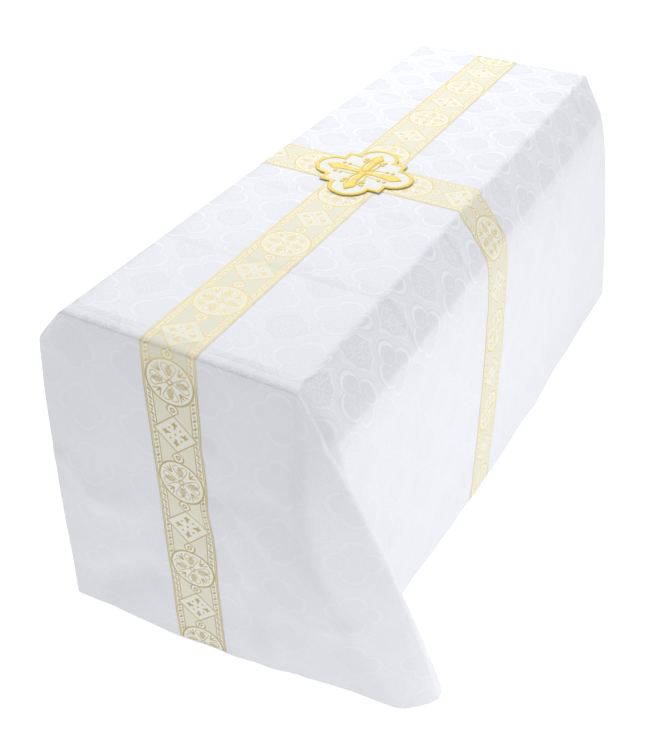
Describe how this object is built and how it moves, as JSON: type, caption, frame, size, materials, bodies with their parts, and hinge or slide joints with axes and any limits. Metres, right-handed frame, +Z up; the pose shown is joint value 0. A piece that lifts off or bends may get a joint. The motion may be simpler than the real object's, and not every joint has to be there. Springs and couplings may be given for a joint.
{
  "type": "coffin drape over a coffin on its bier",
  "caption": "Funeral pall of white damask with crossed ivory and gold bands and an embroidered emblem, draped to the floor over a slope-lidded coffin on a plain bier.",
  "frame": {"origin": "on the floor, at the centre of the bier's base, under the coffin's middle", "axes": "+Z up, +Y along the coffin away from the end that the picture shows, +X across it to the side that the picture shows"},
  "size_m": [1.0986, 2.1488, 0.9116],
  "materials": {
    "damask": "satin",
    "orphrey": "woven",
    "embroidery": "satin stitch",
    "coffin_wood": "satin varnish",
    "bier_paint": "matt"
  },
  "bodies": {
    "root": {"pall_cloth": "damask", "long_band": "orphrey", "cross_band_right": "orphrey", "cross_band_left": "orphrey", "emblem": "embroidery", "coffin_lid": "coffin_wood", "coffin_body": "coffin_wood", "bier": "bier_paint"}
  },
  "joints": []
}
